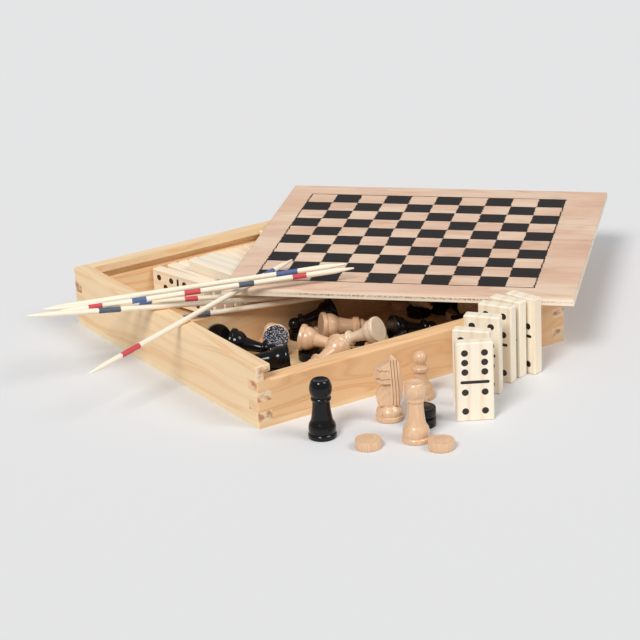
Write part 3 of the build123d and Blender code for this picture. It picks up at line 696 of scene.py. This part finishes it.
discs_black, discs_black_shader = new_material(
    "lacquered_discs", 0.18, Specular_IOR_Level=0.15, Coat_Weight=0.35
)
disc_dust = noise(discs_black, add(discs_black, "TexCoord").outputs["Object"], 3.0, scale=700.0)
coloured(discs_black, discs_black_shader, mix(discs_black, disc_dust, rgb(9, 8, 9), rgb(22, 20, 20)))
dress("draughts_tray_black", discs_black)
discs_natural, discs_natural_shader = new_material("varnished_discs", 0.3, Coat_Weight=0.6)
disc_place = add(discs_natural, "TexCoord").outputs["Object"]
disc_scale = (0.012, 0.0012, 0.0012)
disc_grain = noise(discs_natural, stretched(discs_natural, disc_place, disc_scale, turn=35), 4.0)
disc_wood = mix(discs_natural, disc_grain, rgb(240, 204, 166), rgb(214, 168, 128))
coloured(discs_natural, discs_natural_shader, disc_wood)
dress("draughts_tray_natural", discs_natural)


# Pick-up sticks: birch dowels sharpened at both ends, left bare but for painted bands that
# tell their values.
stick_profile = [(0.3, 0.0), (0.5, 0.4), (1.5, 11.0), (1.5, 40.0), (1.5, 84.0)]
stick_profile += [(1.5, 128.0), (1.5, 157.0), (0.5, 167.6), (0.3, 168.0)]
stick_master = turned("stick_master", stick_profile, 28)
red, blue, slate = rgb(208, 46, 62), rgb(52, 90, 146), rgb(54, 74, 94)
band_wander = 1.2 * mm


def banded(name, bands):
    """Bare birch with painted bands: each has a middle and a width in mm, and a colour."""
    material, shader = new_material(name, 0.5)
    where = add(material, "Attribute", attribute_name="upright").outputs["Vector"]
    fibre = noise(material, stretched(material, where, (0.0006, 0.0006, 0.022)), 3.0)
    smear = noise(material, stretched(material, where, (0.0005, 0.0005, 0.004)), 2.0)
    wood = mix(material, fibre, rgb(255, 250, 236), rgb(246, 226, 194))
    wander = sum_up(material, "MULTIPLY_ADD", smear, band_wander, -band_wander / 2)
    height = sum_up(material, "ADD", axes_of(material, where)["Z"], wander)
    thin = sum_up(material, "MULTIPLY", smear, 0.12)
    for middle, width, colour in bands:
        away = unsigned(material, sum_up(material, "SUBTRACT", height, middle * mm))
        painted = sum_up(material, "LESS_THAN", away, width * mm / 2)
        wood = mix(material, painted, wood, mix(material, thin, colour, rgb(240, 232, 220)))
    coloured(material, shader, wood)
    bump(material, shader, fibre, 0.2, 0.0001)
    return material


upper_bands = ((23.4, 7.6, red), (47.4, 8.0, blue), (76.8, 9.0, red), (106.9, 8.4, slate), (136.8, 7.8, red))
sticks = (
    ("stick_upper_back", (-146.1, 46.6, 34.8, -26.79, 4.39), ((134.9, 12.0, blue),)),
    ("stick_upper_front", (-152.5, 22.4, 41.1, -19.13, 1.55), upper_bands),
    ("stick_lower", (-167.2, -45.65, 31.0, 18.72, 4.05), ((31.6, 14.0, red), (146.8, 8.0, blue))),
    ("stick_left_back", (-154.9, 26.0, 42.9, -10.66, -6.15), ((56.4, 7.4, blue), (83.1, 7.6, red))),
    ("stick_left_front", (-170.6, 16.1, 45.5, -8.30, -6.81), ((46.5, 12.6, slate),)),
    ("stick_on_divider", (-82.0, 2.6, 27.83, -10.8, -1.87), ((9.6, 8.6, slate),)),
)
for node, place, bands in sticks:
    put([(stick_master, pointing(*place))], node, banded("painted_" + node, bands))
on_plate = 5.05  # the middle of a stick that lies on the bottom plate
rows = [(-84.0, 8.0 + 3.2 * n) for n in range(12)] + [(-76.55, 55.5), (-76.55, 84.5)]
stored_sticks = [(stick_master, pointing(x, y, on_plate, 0, 0)) for x, y in rows]
stored_bands = ((24.0, 8.0, blue), (54.0, 8.0, red))
put(stored_sticks, "sticks_stored", banded("painted_sticks_stored", stored_bands))


# Dominoes: solid birch blocks with broken edges. The pips and the bar are drilled and routed
# into the face and painted dark brown.
tile_length, tile_width, tile_thickness = 43.0, 19.5, 6.4
half_tile = tile_thickness / 2
paint_top, paint_floor, bare_side, bare_end = 0.08, 0.50, 0.65, 0.7
back_wall_face, sticks_top = 91.45, 6.6


def between(material, value, low, high):
    """1 where the value lies between the two, and 0 elsewhere."""
    above = sum_up(material, "GREATER_THAN", value, low)
    return sum_up(material, "MULTIPLY", above, sum_up(material, "LESS_THAN", value, high))


def domino_wood(name, place, step=None, shift=0.0):
    """Cream birch with its grain along the tile, and dark paint in the sunk pips.

    The step in mm is from tile to tile of a stack. The shift in mm moves the broad figure.
    """
    material, shader = new_material(name, 0.42, Coat_Weight=0.15)
    where = add(material, "TexCoord").outputs["Object"]
    feeds = {"Vector": where, "Location": place.to_translation(), "Rotation": place.to_euler()}
    feeds["Scale"] = (1, 1, 1)
    own = add(material, "Mapping", feeds, vector_type="TEXTURE").outputs["Vector"]
    stripes = noise(material, stretched(material, own, (0.0021, 0.0021, 0.060)), 3.0)
    feeds = {"Vector": stretched(material, own, (0.022, 0.05, 0.16), (shift * mm, 0, 0))}
    feeds.update({"Scale": 1.0, "Distortion": 4.0, "Detail": 1.5})
    broad = add(material, "TexWave", feeds, bands_direction="X").outputs["Fac"]
    wood = mix(material, stripes, rgb(255, 246, 226), rgb(250, 234, 208))
    late = sum_up(material, "MULTIPLY", rise(material, broad, 0.55, 1.0), 0.42)
    wood = mix(material, late, wood, rgb(236, 208, 174))

    axes = axes_of(material, own)
    depth = axes["Y"]
    if step:
        depth = sum_up(material, "WRAP", depth, step * mm / 2, -step * mm / 2)
    sunk = between(material, depth, (paint_top - half_tile) * mm, (paint_floor - half_tile) * mm)
    out = unsigned(material, axes["X"])
    within = sum_up(material, "LESS_THAN", out, (tile_width / 2 - bare_side) * mm)
    off_middle = unsigned(material, sum_up(material, "SUBTRACT", axes["Z"], tile_length / 2 * mm))
    along = sum_up(material, "LESS_THAN", off_middle, (tile_length / 2 - bare_end) * mm)
    paint = sum_up(material, "MULTIPLY", sunk, sum_up(material, "MULTIPLY", within, along))
    brown = mix(material, noise(material, where, 2.0, scale=900.0), rgb(28, 21, 19), rgb(50, 39, 34))
    coloured(material, shader, mix(material, paint, wood, brown))
    bump(material, shader, stripes, 0.15, 0.0001)
    return material


def on_edge(x, turn=0.0):
    """A tile's place in the rear compartment, on its long edge with its face to the left.

    Its left back corner is at x in mm, and its front end is turned to the right in degrees.
    """
    across, ahead = cos(radians(turn)), sin(radians(turn))
    own = Matrix(((0, across, ahead), (0, ahead, -across), (-1, 0, 0))).to_4x4()
    middle = (x + half_tile * across, back_wall_face - half_tile * ahead, sticks_top + tile_width / 2)
    return Matrix.Translation([v * mm for v in middle]) @ own


tiles_on_table = (
    (-4.8, -157.7, -30.0), (4.4, -143.6, -49.0), (21.3, -130.5, -52.0),
    (36.9, -122.1, -62.5), (46.6, -118.8, -70.0), (56.2, -120.3, -76.0),
)
tiles = [(f"domino_standing_{n}", standing(*place), None) for n, place in enumerate(tiles_on_table, 1)]
tiles.append(("domino_tray_first", on_edge(-54.3, 13.0), None))
tiles.append(("dominoes_tray_open", on_edge(-44.11, 8.5), None))
tiles.append(("dominoes_stored", on_edge(-17.44), tile_thickness + clearance))
slew = radians(9.0)
flat_down = Matrix(((cos(slew), 0.0, sin(slew)), (sin(slew), 0.0, -cos(slew)), (0.0, 1.0, 0.0))).to_4x4()
flat_middle = Matrix.Translation((-26.3 * mm, 53.0 * mm, 29.35 * mm))
to_middle = Matrix.Translation((0, 0, -tile_length / 2 * mm))
tiles.append(("domino_tray_flat", flat_middle @ flat_down @ to_middle, None))
figure_step = 3.7
for number, (node, place, step) in enumerate(tiles):
    dress(node, domino_wood("wood_" + node, place, step, figure_step * number))


for master in [*masters.values(), knight_master, draught_master, stick_master]:
    bpy.data.objects.remove(master)
